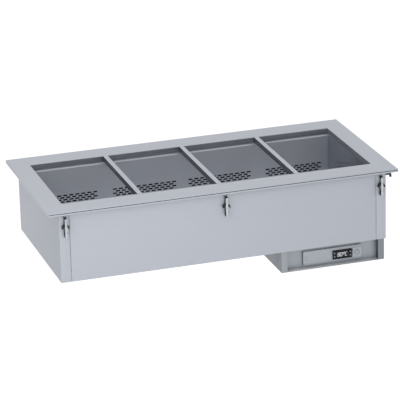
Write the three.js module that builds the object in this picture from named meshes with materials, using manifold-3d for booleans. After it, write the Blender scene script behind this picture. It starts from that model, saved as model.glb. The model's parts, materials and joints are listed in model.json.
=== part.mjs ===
// Drop-in food well for four full-size pans: a flanged stainless well that hangs in a worktop cut-out.
// Millimetres, +Z up, front towards -Y. The origin is the centre of the cut-out, on the worktop's top face.
import * as THREE from 'three';
import { mergeGeometries, mergeVertices } from 'three/addons/utils/BufferGeometryUtils.js';
import Module from 'manifold-3d';

const wasm = await Module();
wasm.setup();

// Sheet metal and clearances
const sheet = 1.5; // thickness of the folded stainless sheet
const gap = 0.3; // clearance between two pieces that touch
const cutOver = 5; // how far a cutting tool runs past what it cuts
const panelSeam = 1.2; // open seam between neighbouring casing panels
const grid = 1 / 1024; // points are rounded to this, so that faces meant to be flush are exactly flush

// Pan openings
const wellCount = 4;
const wellClear = 312.5; // clear width of one well
const openingDepth = 510; // clear size, front to rear
const bar = { width: 20, height: 23.7, seatReach: 10 };

// Top flange
const flange = { endWidth: 80, sideWidth: 103, lip: 13.5, lipReturn: 12, bend: 3, innerLip: 24 };
const lipGroove = { drop: 4.5, width: 2.5, depth: 1.2, slope: 0.4 }; // pressed line along the outer lip
const bendSteps = 3; // facets round one sheet bend
const rodBendSteps = 3; // facets along one bend of a heater

// Inner tank, air ducts and fan deck, as depths below the flange's top face
const tank = { ductWidth: 40, bottom: 262 };
const duct = { top: 24.3, shoulder: 34.5, foot: 222, footReturn: 10, rearReturn: 12 };
const slot = { length: 17.5, height: 4.5, pitch: 26, rowPitch: 9.3, topRow: 152.5 };
const slotRows = { rear: 4, front: 2 };
const slotsPerWell = [10, 11, 11, 10];
const deck = { top: 205, rim: 14, ventRadius: 56, ventSlot: 6, ventPitch: 12 };

// Outer casing
const casing = { endInset: 45, sideInset: 26, bottom: 305, cornerStrip: 42, fold: 15 };
const wiring = { radius: 20, fromRear: 100, sides: 16 }; // hole from the control box up into the casing

// Circulation fans
const fan = { size: 120, height: 38, corner: 8, strut: 6, plate: 4 };
const fanBore = { radius: 57, sides: 28 };
const fanHub = { radius: 26, sides: 20 };
const fanShaft = { radius: 4, length: 22, sides: 12 };
const rotor = { hub: 25, hubHeight: 24, hubSides: 20, boreSides: 16, tip: 54, clearance: 0.4 };
const blade = { count: 7, pitch: 0.62, flatter: 1 / 3, chord: 26, thickness: 2, sweep: 0.3, stations: 4 };

// Tubular heaters and the temperature probe, in the space under the deck
const heater = { tube: 4, level: 235, inner: 60, endClear: 57, side: 110, bend: 30, foot: 12, sides: 8 };
const probe = { radius: 3, length: 80, collar: 8, collarLength: 6, side: 180, sides: 12, collarSides: 6 };

// Control box, hung under the right-hand end of the casing
const box = { rightInset: 7, setback: 2, length: 448, depth: 300, height: 90, fold: 12 };
const post = { width: 26, depth: 25 };
const plate = { fromLeft: 99, fromRight: 93, drop: 18, lift: 13, proud: 10 }; // set in from the box's edges
const louvre = { left: 4, length: 16, height: 3, proud: 1.8, pitch: 7, count: 3 };
const controller = { fromRight: 44.5, width: 83, edge: 10.5, proud: 5 };
const controllerBody = { insetX: 6, insetZ: 4.5, depth: 55 };
const display = { width: 56, edge: 8, depth: 1.5 };
const key = { width: 6.5, height: 6.5, pocket: 4, proud: 0.8, travel: 1, offset: 7.5 };
const power = { fromRight: 2.8, width: 36.5, edge: 9, proud: 3, bodyDepth: 26 };
const powerCup = { radius: 11.4, wall: 2, depth: 8 };
const powerButton = { radius: 11, proud: 2.5, length: 7, dome: 1, rim: 0.7, sides: 32 };

// Parts inside the control box
const terminal = { length: 84, width: 24, height: 14, fromLeft: 60, fromRear: 60 };
const terminalRib = { width: 2, height: 10, ways: 6 };
const relay = { length: 70, width: 46, base: 5, fin: 2, fins: 7, height: 26, fromRight: 120, fromRear: 90 };
const gland = { bore: 5, thread: 9, inner: 5, fromLeft: 80, sides: 16 };
const glandNut = { radius: 13, height: 8 };
const glandDome = { radius: 11, height: 12, crown: 4 };

// Worktop clamps, as depths below the flange's top face and distances out from the casing
const clamp = { top: 25.5, bottom: 110, bearing: 33, plateHalf: 12, screwOut: 11 };
const channel = { width: 9, out: 22, wall: 1.2, webTop: 31 };
const clampFromEnd = 24; // front and rear clamps, on the corner strips of the end panels
const endClampFromFront = 62; // the clamp on the right end panel
const screw = { shank: 2, hole: 2.4, tail: 2, collar: 2.8, sides: 10 };
const screwHead = { radius: 3.5, height: 4, socket: 1.5, socketDepth: 2.5, socketSides: 6 };
const claw = { rise: 4, drop: 11.5, reach: 15.5, tip: 4.5, root: 6.5, back: 3.5, beak: 9 };
const clawTravel = { depth: 62, out: 20, up: 21, down: 23 };
const endClawTravel = { depth: 46, out: 44.5, up: 5.5, down: 39 }; // the flange reaches further there
const clawNut = { half: 3, height: 9, bore: 2.2, arm: 6, armHeight: 2.5, armReach: 9 };
const clawCurveSteps = 5;
const clawShoulderShare = 1; // how far out the upper curve stays level
const clawHollowShare = 0.75; // the same for the lower curve
const clampPin = { radius: 2.2, head: 3.6, depth: 92.5, out: 16, sides: 8 };

// Derived sizes
const openX = (wellCount * wellClear + (wellCount - 1) * bar.width) / 2;
const openY = openingDepth / 2;
const flangeX = openX + flange.endWidth;
const flangeY = openY + flange.sideWidth;
const flangeTop = flange.lip;
const wellPitch = wellClear + bar.width;
const tankX = openX + sheet + gap;
const tankY = openY + tank.ductWidth;
const caseX = flangeX - casing.endInset;
const caseY = flangeY - casing.sideInset;
const fanX = wellPitch;
const clampX = caseX - clampFromEnd;

// Height of a point that lies this far below the flange's top face
function below(depth) {
  return flangeTop - depth;
}

const caseTop = below(sheet + gap);
const caseBottom = below(casing.bottom);
const tankTop = below(flange.bend + gap);

// Colours and finishes, one per kind of material
const finishes = {
  satinSteel: { color: 0xb9bdc6, roughness: 0.35, metalness: 0.9 },
  shadedSteel: { color: 0x8f939b, roughness: 0.4, metalness: 0.9 },
  controlSteel: { color: 0x9aa1a6, roughness: 0.45, metalness: 0.8 },
  zinc: { color: 0xc9ccd2, roughness: 0.3, metalness: 1 },
  blackPlastic: { color: 0x1b1d20, roughness: 0.55, metalness: 0 },
  glossBlack: { color: 0x0c0d10, roughness: 0.12, metalness: 0 },
  greyKey: { color: 0x54585e, roughness: 0.5, metalness: 0 },
  wool: { color: 0xd8cfae, roughness: 0.95, metalness: 0 },
  sheath: { color: 0x6d6a66, roughness: 0.5, metalness: 0.8 },
};

// A closed geometry as a solid that can be cut and joined
function toSolid(geometry) {
  const bare = geometry.clone();
  bare.deleteAttribute('normal');
  bare.deleteAttribute('uv');
  const rounded = bare.attributes.position.array.map((value) => Math.round(value / grid) * grid);
  bare.setAttribute('position', new THREE.BufferAttribute(rounded, 3));
  const merged = mergeVertices(bare);
  return new wasm.Manifold(new wasm.Mesh({
    numProp: 3,
    vertProperties: new Float32Array(merged.attributes.position.array),
    triVerts: new Uint32Array(merged.index.array),
  }));
}

// A finished solid as a named mesh
function toMesh(name, solid, finish) {
  const data = solid.getMesh();
  const geometry = new THREE.BufferGeometry();
  geometry.setAttribute('position', new THREE.BufferAttribute(data.vertProperties, 3));
  geometry.setIndex(new THREE.BufferAttribute(data.triVerts, 1));
  geometry.computeVertexNormals();
  const mesh = new THREE.Mesh(geometry, new THREE.MeshStandardMaterial(finishes[finish]));
  mesh.name = name;
  return mesh;
}

function joinAll(solids) {
  return solids.reduce((whole, next) => whole.add(next));
}

// The box geometry between two values on each axis
function blockGeometry([x0, x1], [y0, y1], [z0, z1]) {
  const geometry = new THREE.BoxGeometry(x1 - x0, y1 - y0, z1 - z0);
  return geometry.translate((x0 + x1) / 2, (y0 + y1) / 2, (z0 + z1) / 2);
}

function block(x, y, z) {
  return toSolid(blockGeometry(x, y, z));
}

// The span between two values, in rising order
function span(a, b) {
  return [Math.min(a, b), Math.max(a, b)];
}

function outline(points) {
  return new THREE.Shape(points.map(([a, b]) => new THREE.Vector2(a, b)));
}

// An outline in X and Y, extruded up from z0 to z1
function extrudeUp(shape, z0, z1) {
  const geometry = new THREE.ExtrudeGeometry(shape, { depth: z1 - z0, bevelEnabled: false });
  return toSolid(geometry.translate(0, 0, z0));
}

// An outline in Y and Z, extruded along X from x0 to x1
function extrudeAcross(shape, x0, x1) {
  const geometry = new THREE.ExtrudeGeometry(shape, { depth: x1 - x0, bevelEnabled: false });
  const turn = new THREE.Matrix4().makeBasis(
    new THREE.Vector3(0, 1, 0),
    new THREE.Vector3(0, 0, 1),
    new THREE.Vector3(1, 0, 0),
  );
  return toSolid(geometry.applyMatrix4(turn).translate(x0, 0, 0));
}

// An outline in X and Z, extruded along Y from y0 to y1
function extrudeBack(shape, y0, y1) {
  const geometry = new THREE.ExtrudeGeometry(shape, { depth: y1 - y0, bevelEnabled: false });
  return toSolid(geometry.rotateX(Math.PI / 2).translate(0, y1, 0));
}

// A round bar along Z between two heights
function rod(radius, x, y, z0, z1, sides) {
  const geometry = new THREE.CylinderGeometry(radius, radius, z1 - z0, sides);
  return toSolid(geometry.rotateX(Math.PI / 2).translate(x, y, (z0 + z1) / 2));
}

// A round bar along Y between two depths
function rodBack(radius, x, z, y0, y1, sides) {
  const geometry = new THREE.CylinderGeometry(radius, radius, y1 - y0, sides);
  return toSolid(geometry.translate(x, (y0 + y1) / 2, z));
}

// A round bar along X between two places
function rodAcross(radius, y, z, x0, x1, sides) {
  const geometry = new THREE.CylinderGeometry(radius, radius, x1 - x0, sides);
  return toSolid(geometry.rotateZ(Math.PI / 2).translate((x0 + x1) / 2, y, z));
}

// The outline of a folded sheet: its outer face as a line of points, and its thickness laid to the left
function foldedSheet(points, thickness) {
  const inner = points.map((point, i) => {
    const before = points[Math.max(i - 1, 0)];
    const after = points[Math.min(i + 1, points.length - 1)];
    const from = i > 0 ? leftOf(before, point) : leftOf(point, after);
    const to = i < points.length - 1 ? leftOf(point, after) : from;
    const share = thickness / (1 + from[0] * to[0] + from[1] * to[1]);
    return [point[0] + (from[0] + to[0]) * share, point[1] + (from[1] + to[1]) * share];
  });
  return outline([...points, ...inner.reverse()]);
}

// The unit vector to the left of the way from a to b
function leftOf(a, b) {
  const length = Math.hypot(b[0] - a[0], b[1] - a[1]);
  return [(a[1] - b[1]) / length, (b[0] - a[0]) / length];
}

// A closed profile carried round a rectangle with mitred corners; each point is [half X, half Y, Z]
function ringBody(loop) {
  const corners = [[1, 1], [-1, 1], [-1, -1], [1, -1]];
  const positions = [];
  const faces = [];
  for (const [halfX, halfY, z] of loop) {
    for (const [sx, sy] of corners) {
      positions.push(sx * halfX, sy * halfY, z);
    }
  }
  const at = (i, j) => (i % loop.length) * corners.length + (j % corners.length);
  for (let i = 0; i < loop.length; i += 1) {
    for (let j = 0; j < corners.length; j += 1) {
      faces.push(at(i, j), at(i + 1, j), at(i + 1, j + 1));
      faces.push(at(i, j), at(i + 1, j + 1), at(i, j + 1));
    }
  }
  const geometry = new THREE.BufferGeometry();
  geometry.setAttribute('position', new THREE.Float32BufferAttribute(positions, 3));
  geometry.setIndex(faces);
  return toSolid(geometry);
}

// Points on a quarter bend about a centre, from one angle to another
function bendPoints(centre, radius, from, to) {
  const points = [];
  for (let i = 0; i <= bendSteps; i += 1) {
    const angle = from + ((to - from) * i) / bendSteps;
    points.push([centre[0] + radius * Math.cos(angle), centre[1] + radius * Math.sin(angle)]);
  }
  return points;
}

// Worktop flange: flat top, outer lip with a return that lies on the worktop, inner lip round the opening
function makeFlange() {
  const { bend, innerLip, lipReturn } = flange;
  const inside = bend - sheet;
  const quarter = Math.PI / 2;
  const innerCentre = [bend, flangeTop - bend];
  const outerCentre = [-bend, flangeTop - bend];
  const atOpening = ([out, z]) => [openX + out, openY + out, z];
  const atEdge = ([out, z]) => [flangeX + out, flangeY + out, z];
  const loop = [
    atOpening([0, below(innerLip)]),
    ...bendPoints(innerCentre, bend, 2 * quarter, quarter).map(atOpening),
    ...bendPoints(outerCentre, bend, quarter, 0).map(atEdge),
    ...groovePoints(0).map(atEdge),
    atEdge([0, 0]),
    atEdge([-lipReturn, 0]),
    atEdge([-lipReturn, sheet]),
    atEdge([-sheet, sheet]),
    ...groovePoints(-sheet).reverse().map(atEdge),
    ...bendPoints(outerCentre, inside, 0, quarter).map(atEdge),
    ...bendPoints(innerCentre, inside, quarter, 2 * quarter).map(atOpening),
    atOpening([sheet, below(innerLip)]),
  ];
  return joinAll([ringBody(loop), ...barSeats()]);
}

// The line pressed into the outer lip, from the top down, on a face that lies this far out
function groovePoints(face) {
  const { drop, width, depth, slope } = lipGroove;
  return [
    [face, below(drop)],
    [face - depth, below(drop + slope)],
    [face - depth, below(drop + width - slope)],
    [face, below(drop + width)],
  ];
}

// Tabs left on the inner lip and bent in, one under each end of each crossbar
function barSeats() {
  const seats = [];
  for (const x of barPlaces()) {
    for (const side of [-1, 1]) {
      const across = [x - bar.width / 2, x + bar.width / 2];
      const tab = span(side * (openY + sheet), side * (openY - bar.seatReach));
      const root = span(side * (openY + sheet), side * openY);
      seats.push(block(across, tab, [below(flange.innerLip + sheet), below(flange.innerLip)]));
      seats.push(block(across, root, [below(flange.innerLip + sheet), below(flange.innerLip - sheet)]));
    }
  }
  return seats;
}

function barPlaces() {
  return Array.from({ length: wellCount - 1 }, (_, i) => (i + 1 - wellCount / 2) * wellPitch);
}

// Crossbar between two wells: an inverted channel, level with the flange
function makeCrossbar(x) {
  const half = bar.width / 2;
  const foot = below(bar.height);
  const face = [[x + half, foot], [x + half, flangeTop], [x - half, flangeTop], [x - half, foot]];
  return extrudeBack(foldedSheet(face, sheet), -(openY - gap), openY - gap);
}

// Inner tank, an open box behind the ducts
function makeTank() {
  const outer = block(
    [-tankX - sheet, tankX + sheet],
    [-tankY - sheet, tankY + sheet],
    [below(tank.bottom), tankTop],
  );
  const inner = block([-tankX, tankX], [-tankY, tankY], [below(tank.bottom) + sheet, tankTop + cutOver]);
  return outer.subtract(inner);
}

// Air duct along the front or rear of the tank, with staggered slots low in its face
function makeDuct(side, rows) {
  const chamfer = duct.shoulder - duct.top;
  const back = tankY - gap;
  const face = [
    [openY + duct.footReturn, below(duct.foot)],
    [openY, below(duct.foot)],
    [openY, below(duct.shoulder)],
    [openY + chamfer, below(duct.top)],
    [back, below(duct.top)],
    [back, below(duct.top + duct.rearReturn)],
  ].map(([y, z]) => [side * y, z]);
  const shell = extrudeAcross(foldedSheet(face, -side * sheet), -(tankX - gap), tankX - gap);
  return shell.subtract(slotCutter(side, rows));
}

// All the air slots of one duct as one cutting tool
function slotCutter(side, rows) {
  const through = span(side * (openY - cutOver), side * (openY + sheet + cutOver));
  const slots = [];
  slotsPerWell.forEach((count, well) => {
    const centre = (well - (wellCount - 1) / 2) * wellPitch;
    for (let row = 0; row < rows; row += 1) {
      const copies = count - (row % 2);
      const z = below(slot.topRow + row * slot.rowPitch);
      for (let i = 0; i < copies; i += 1) {
        const x = centre + (i - (copies - 1) / 2) * slot.pitch;
        const across = [x - slot.length / 2, x + slot.length / 2];
        slots.push(blockGeometry(across, through, [z - slot.height / 2, z + slot.height / 2]));
      }
    }
  });
  return toSolid(mergeGeometries(slots));
}

// Fan deck: the false floor of the wells, a shallow pan turned upside down with inlet slots over each fan
function makeDeck() {
  const x = tankX - gap;
  const y = openY - gap;
  const rim = below(deck.top + deck.rim);
  const outer = block([-x, x], [-y, y], [rim, below(deck.top)]);
  const inside = [[-x + sheet, x - sheet], [-y + sheet, y - sheet]];
  const hollow = block(...inside, [rim - cutOver, below(deck.top + sheet)]);
  return outer.subtract(hollow).subtract(ventCutter());
}

function ventCutter() {
  const slots = [];
  const perSide = Math.floor((deck.ventRadius - deck.ventSlot) / deck.ventPitch);
  for (const centre of [-fanX, fanX]) {
    for (let i = -perSide; i <= perSide; i += 1) {
      const y = i * deck.ventPitch;
      const half = Math.sqrt(deck.ventRadius ** 2 - y ** 2);
      slots.push(blockGeometry(
        [centre - half, centre + half],
        [y - deck.ventSlot / 2, y + deck.ventSlot / 2],
        [below(deck.top + sheet) - cutOver, below(deck.top) + cutOver],
      ));
    }
  }
  return toSolid(mergeGeometries(slots));
}

const fanTop = below(deck.top + sheet + gap);
const fanFoot = fanTop - fan.height;

// Fan frame: square body with a round bore, four struts, a hub plate and the rotor's shaft
function makeFanFrame(x) {
  const half = fan.size / 2;
  const square = extrudeUp(roundedSquare(half, fan.corner), fanFoot, fanTop);
  const bore = rod(fanBore.radius, 0, 0, fanFoot - cutOver, fanTop + cutOver, fanBore.sides);
  const reach = fanBore.radius + fan.plate / 2;
  const low = [fanFoot, fanFoot + fan.plate];
  const whole = joinAll([
    square.subtract(bore),
    block([-reach, reach], [-fan.strut / 2, fan.strut / 2], low),
    block([-fan.strut / 2, fan.strut / 2], [-reach, reach], low),
    rod(fanHub.radius, 0, 0, ...low, fanHub.sides),
    rod(fanShaft.radius, 0, 0, fanFoot, fanFoot + fanShaft.length, fanShaft.sides),
  ]);
  return whole.translate([x, 0, 0]);
}

// A square with each corner cut by a short round of four points
function roundedSquare(half, radius) {
  const points = [];
  [[1, 1], [-1, 1], [-1, -1], [1, -1]].forEach(([sx, sy], i) => {
    const centre = [sx * (half - radius), sy * (half - radius)];
    points.push(...bendPoints(centre, radius, (i * Math.PI) / 2, ((i + 1) * Math.PI) / 2));
  });
  return outline(points);
}

// Fan rotor: cupped hub with swept, pitched blades
function makeRotor(x) {
  const foot = fanFoot + fan.plate + rotor.clearance;
  const hub = rod(rotor.hub, 0, 0, foot, foot + rotor.hubHeight, rotor.hubSides);
  const boreEnd = fanFoot + fanShaft.length + rotor.clearance;
  const bore = rod(fanShaft.radius + rotor.clearance, 0, 0, foot - cutOver, boreEnd, rotor.boreSides);
  const blades = Array.from({ length: blade.count }, (_, i) => {
    const geometry = makeBlade(foot + rotor.hubHeight / 2);
    return toSolid(geometry.rotateZ((i * 2 * Math.PI) / blade.count));
  });
  return joinAll([hub, ...blades]).subtract(bore).translate([x, 0, 0]);
}

// One blade, lofted through flat sections that sweep forward and flatten towards the tip
function makeBlade(middle) {
  const { stations } = blade;
  const root = rotor.hub - blade.thickness;
  const corners = [[-1, -1], [1, -1], [1, 1], [-1, 1]];
  const positions = [];
  for (let i = 0; i < stations; i += 1) {
    const share = i / (stations - 1);
    const radius = root + (rotor.tip - root) * share;
    const angle = blade.sweep * share;
    const pitch = blade.pitch * (1 - blade.flatter * share);
    for (const [along, up] of corners) {
      const run = (along * blade.chord) / 2;
      const rise = (up * blade.thickness) / 2;
      const tangent = run * Math.cos(pitch) - rise * Math.sin(pitch);
      const z = middle + run * Math.sin(pitch) + rise * Math.cos(pitch);
      const turn = angle + Math.atan2(tangent, radius);
      const reach = Math.min(Math.hypot(tangent, radius), rotor.tip);
      positions.push(reach * Math.cos(turn), reach * Math.sin(turn), z);
    }
  }
  const faces = [0, 2, 1, 0, 3, 2];
  for (let i = 0; i < stations - 1; i += 1) {
    for (let j = 0; j < corners.length; j += 1) {
      const a = i * corners.length + j;
      const b = i * corners.length + ((j + 1) % corners.length);
      faces.push(a, b, b + corners.length, a, b + corners.length, a + corners.length);
    }
  }
  const last = (stations - 1) * corners.length;
  faces.push(last, last + 1, last + 2, last, last + 2, last + 3);
  const geometry = new THREE.BufferGeometry();
  geometry.setAttribute('position', new THREE.Float32BufferAttribute(positions, 3));
  geometry.setIndex(faces);
  return geometry;
}

const tankFloor = below(tank.bottom) + sheet;

// Tubular heater: a flat loop round one fan, its two cold ends standing on the tank floor
function makeHeater(side) {
  const level = below(heater.level);
  const outer = tankX - heater.endClear;
  const corners = [
    [heater.inner, -heater.side, tankFloor + gap],
    [heater.inner, -heater.side, level],
    [outer, -heater.side, level],
    [outer, heater.side, level],
    [heater.inner, heater.side, level],
    [heater.inner, heater.side, tankFloor + gap],
  ].map(([x, y, z]) => new THREE.Vector3(side * x, y, z));
  const bends = [heater.foot, heater.bend, heater.bend, heater.foot];
  const path = new BentRod(corners, bends);
  const section = new THREE.Shape().absarc(0, 0, heater.tube, 0, 2 * Math.PI, false);
  const geometry = new THREE.ExtrudeGeometry(section, {
    steps: path.points.length - 1,
    extrudePath: path,
    bevelEnabled: false,
    curveSegments: heater.sides / 2,
  });
  return toSolid(geometry);
}

// A rod's centre line: straight runs between corners, each corner rounded by its own bend.
// It steps from point to point, so that a straight run takes a single step.
class BentRod extends THREE.Curve {
  constructor(corners, bends) {
    super();
    this.points = [corners[0]];
    bends.forEach((bend, i) => {
      const corner = corners[i + 1];
      const towards = (other) => other.clone().sub(corner).setLength(bend).add(corner);
      const curve = new THREE.QuadraticBezierCurve3(towards(corners[i]), corner, towards(corners[i + 2]));
      this.points.push(...curve.getPoints(rodBendSteps));
    });
    this.points.push(corners[corners.length - 1]);
  }

  getPoint(t) {
    const place = t * (this.points.length - 1);
    const index = Math.min(Math.floor(place), this.points.length - 2);
    return this.points[index].clone().lerp(this.points[index + 1], place - index);
  }

  getUtoTmapping(u) {
    return u;
  }
}

// Temperature probe, screwed through the right end wall of the tank
function makeProbe() {
  const wall = tankX - gap;
  const z = below(heater.level);
  return joinAll([
    rodAcross(probe.radius, probe.side, z, wall - probe.length, wall - probe.collarLength / 2, probe.sides),
    rodAcross(probe.collar, probe.side, z, wall - probe.collarLength, wall, probe.collarSides),
  ]);
}

const baseTop = below(casing.bottom - 2 * sheet - gap);

// Mineral wool round the tank, between it and the casing
function makeJacket() {
  const inner = [tankX + sheet + gap, tankY + sheet + gap];
  const outer = [caseX - sheet - gap, caseY - sheet - gap];
  const low = below(tank.bottom);
  const high = caseTop - sheet - gap;
  return ringBody([[...inner, low], [...inner, high], [...outer, high], [...outer, low]]);
}

// Mineral wool slab under the tank, holed for the wiring
function makeBaseWool() {
  const x = caseX - sheet - gap;
  const y = caseY - sheet - gap;
  const rise = [baseTop + gap, below(tank.bottom) - gap];
  return block([-x, x], [-y, y], rise).subtract(wiringHole(rise));
}

// The wiring hole's cutting tool through a layer between two heights
function wiringHole([low, high]) {
  const y = boxRear - wiring.fromRear;
  return rod(wiring.radius, boxMiddle, y, low - cutOver, high + cutOver, wiring.sides);
}

// Front or rear casing panel, folded in along its top and bottom
function makeSidePanel(side) {
  const half = caseX - casing.cornerStrip - panelSeam;
  const face = [
    [caseY - casing.fold, caseTop],
    [caseY, caseTop],
    [caseY, caseBottom],
    [caseY - casing.fold, caseBottom],
  ].map(([y, z]) => [side * y, z]);
  return extrudeAcross(foldedSheet(face, -side * sheet), -half, half);
}

// End casing panel, wrapped round both of its corners by a narrow strip
function makeEndPanel(side) {
  const face = [
    [caseX - casing.cornerStrip, -caseY],
    [caseX, -caseY],
    [caseX, caseY],
    [caseX - casing.cornerStrip, caseY],
  ].map(([x, y]) => [side * x, y]);
  return extrudeUp(foldedSheet(face, side * sheet), caseBottom, caseTop);
}

// Bottom panel, lying on the folds of the front and rear panels
function makeBottomPanel() {
  const x = caseX - sheet - gap;
  const y = caseY - sheet - gap;
  const rise = [baseTop - sheet, baseTop];
  return block([-x, x], [-y, y], rise).subtract(wiringHole(rise));
}

// Control box outline
const boxRight = caseX - box.rightInset;
const boxLeft = boxRight - box.length;
const boxMiddle = (boxLeft + boxRight) / 2;
const boxFront = -(caseY - box.setback);
const boxRear = boxFront + box.depth;
const boxTop = caseBottom - gap;
const boxFoot = boxTop - box.height;
const trayTop = boxFoot + sheet;
const fasciaFace = boxFront + post.depth + gap;
const glandZ = (boxTop + boxFoot) / 2;

// Control box shell: floor, two sides and rear, folded in along the top
function makeBoxShell() {
  const sideFront = boxFront + post.depth + gap;
  const left = [boxLeft, boxLeft + sheet];
  const right = [boxRight - sheet, boxRight];
  const rise = [boxFoot, boxTop];
  const fold = [boxTop - sheet, boxTop];
  const shell = joinAll([
    block([boxLeft, boxRight], [boxFront, boxRear], [boxFoot, trayTop]),
    block(left, [sideFront, boxRear], rise),
    block(right, [sideFront, boxRear], rise),
    block([boxLeft, boxRight], [boxRear - sheet, boxRear], rise),
    block([boxLeft, boxLeft + box.fold], [sideFront + box.fold, boxRear], fold),
    block([boxRight - box.fold, boxRight], [sideFront + box.fold, boxRear], fold),
    block([boxLeft, boxRight], [boxRear - box.fold, boxRear], fold),
  ]);
  const glandHole = rodBack(
    gland.thread + gap,
    boxLeft + gland.fromLeft,
    glandZ,
    boxRear - sheet - cutOver,
    boxRear + cutOver,
    gland.sides,
  );
  return shell.subtract(glandHole);
}

// Corner post of the control box, a square tube standing on its floor
function makePost(left) {
  const depth = [boxFront, boxFront + post.depth];
  const outer = block([left, left + post.width], depth, [trayTop + gap, boxTop]);
  const bore = block(
    [left + sheet, left + post.width - sheet],
    [boxFront + sheet, boxFront + post.depth - sheet],
    [trayTop - cutOver, boxTop + cutOver],
  );
  return outer.subtract(bore);
}

// Sizes and places on the control plate, measured in from the edges of the box and of the plate
const plateLeft = boxLeft + plate.fromLeft;
const plateRight = boxRight - plate.fromRight;
const plateTop = boxTop - plate.drop;
const plateFoot = boxFoot + plate.lift;
const plateZ = (plateTop + plateFoot) / 2;
const plateFace = fasciaFace - gap - plate.proud;
const controllerLeft = plateRight - controller.fromRight - controller.width;
const controllerRise = [plateFoot + controller.edge, plateTop - controller.edge];
const controllerX = controllerLeft + controller.width / 2;
const controllerHalfZ = (controllerRise[1] - controllerRise[0]) / 2;
const powerLeft = plateRight - power.fromRight - power.width;
const powerX = powerLeft + power.width / 2;
const controllerFace = plateFace - gap - controller.proud;
const powerFace = plateFace - gap - power.proud;

// Cut-outs that the controller and the switch pass through
function panelCutter(y0, y1) {
  const halfX = controller.width / 2 - controllerBody.insetX + gap;
  const halfZ = controllerHalfZ - controllerBody.insetZ + gap;
  return joinAll([
    block([controllerX - halfX, controllerX + halfX], [y0, y1], [plateZ - halfZ, plateZ + halfZ]),
    rodBack(powerCup.radius + powerCup.wall + gap, powerX, plateZ, y0, y1, powerButton.sides),
  ]);
}

// Fascia between the posts, folded back along its top and bottom
function makeFascia() {
  const face = [
    [fasciaFace + box.fold, boxTop - sheet - gap],
    [fasciaFace, boxTop - sheet - gap],
    [fasciaFace, trayTop + gap],
    [fasciaFace + box.fold, trayTop + gap],
  ];
  const body = extrudeAcross(foldedSheet(face, sheet), boxLeft + sheet + gap, boxRight - sheet - gap);
  return body.subtract(panelCutter(fasciaFace - cutOver, fasciaFace + sheet + cutOver));
}

// Raised control plate: a shallow pan with its open back on the fascia, and short louvres at its left
function makeControlPlate() {
  const outer = block([plateLeft, plateRight], [plateFace, fasciaFace - gap], [plateFoot, plateTop]);
  const hollow = block(
    [plateLeft + sheet, plateRight - sheet],
    [plateFace + sheet, fasciaFace + cutOver],
    [plateFoot + sheet, plateTop - sheet],
  );
  const cutter = panelCutter(plateFace - cutOver, plateFace + sheet + cutOver);
  return joinAll([outer.subtract(hollow).subtract(cutter), ...louvres()]);
}

function louvres() {
  const start = plateLeft + louvre.left;
  return Array.from({ length: louvre.count }, (_, i) => {
    const z = plateZ + ((louvre.count - 1) / 2 - i) * louvre.pitch;
    const hood = outline([
      [plateFace + sheet / 2, z + louvre.height / 2],
      [plateFace - louvre.proud, z - louvre.height / 2],
      [plateFace + sheet / 2, z - louvre.height / 2],
    ]);
    return extrudeAcross(hood, start, start + louvre.length);
  });
}

// Digital controller: bezel in front of the plate and its body behind, with places for the window and keys
function makeController() {
  const right = controllerLeft + controller.width;
  const bezel = block([controllerLeft, right], [controllerFace, plateFace - gap], controllerRise);
  const body = block(
    [controllerLeft + controllerBody.insetX, right - controllerBody.insetX],
    [plateFace - gap - sheet, plateFace + controllerBody.depth],
    [controllerRise[0] + controllerBody.insetZ, controllerRise[1] - controllerBody.insetZ],
  );
  const window = block(
    [controllerX - display.width / 2 - gap, controllerX + display.width / 2 + gap],
    [controllerFace - cutOver, controllerFace + display.depth + gap],
    [controllerRise[0] + display.edge - gap, controllerRise[1] - display.edge + gap],
  );
  const pockets = keyPlaces().map(([x, z]) => block(
    [x - key.width / 2 - gap, x + key.width / 2 + gap],
    [controllerFace - cutOver, controllerFace + key.pocket],
    [z - key.height / 2 - gap, z + key.height / 2 + gap],
  ));
  return bezel.add(body).subtract(joinAll([window, ...pockets]));
}

// Centres of the four keys, two at each side of the window
function keyPlaces() {
  const out = (controller.width + display.width) / 4;
  return [[-out, key.offset], [-out, -key.offset], [out, key.offset], [out, -key.offset]]
    .map(([x, z]) => [controllerX + x, plateZ + z]);
}

function makeWindow() {
  return block(
    [controllerX - display.width / 2, controllerX + display.width / 2],
    [controllerFace, controllerFace + display.depth],
    [controllerRise[0] + display.edge, controllerRise[1] - display.edge],
  );
}

// One key, with room behind it for its travel
function makeKey([x, z]) {
  return block(
    [x - key.width / 2, x + key.width / 2],
    [controllerFace - key.proud, controllerFace + key.pocket - key.travel - gap],
    [z - key.height / 2, z + key.height / 2],
  );
}

// Switch housing: a bezel plate with a round cup that passes through the panels
function makeSwitchHousing() {
  const bezel = block(
    [powerLeft, powerLeft + power.width],
    [powerFace, plateFace - gap],
    [plateFoot + power.edge, plateTop - power.edge],
  );
  const { radius, wall, depth } = powerCup;
  const { sides } = powerButton;
  const barrelFront = plateFace - gap - sheet;
  const barrel = rodBack(radius + wall, powerX, plateZ, barrelFront, plateFace + power.bodyDepth, sides);
  const cup = rodBack(radius, powerX, plateZ, powerFace - cutOver, powerFace + depth, sides);
  return bezel.add(barrel).subtract(cup);
}

// Round push button of the switch, with a crowned face
function makePowerButton() {
  const { radius, proud, length, dome, rim, sides } = powerButton;
  const profile = [
    [0, 0],
    [radius, 0],
    [radius, length - dome],
    [radius - rim, length - dome + rim],
    [0, length],
  ];
  const geometry = new THREE.LatheGeometry(profile.map(([r, h]) => new THREE.Vector2(r, h)), sides);
  return toSolid(geometry.rotateX(Math.PI).translate(powerX, powerFace - proud + length, plateZ));
}

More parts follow.
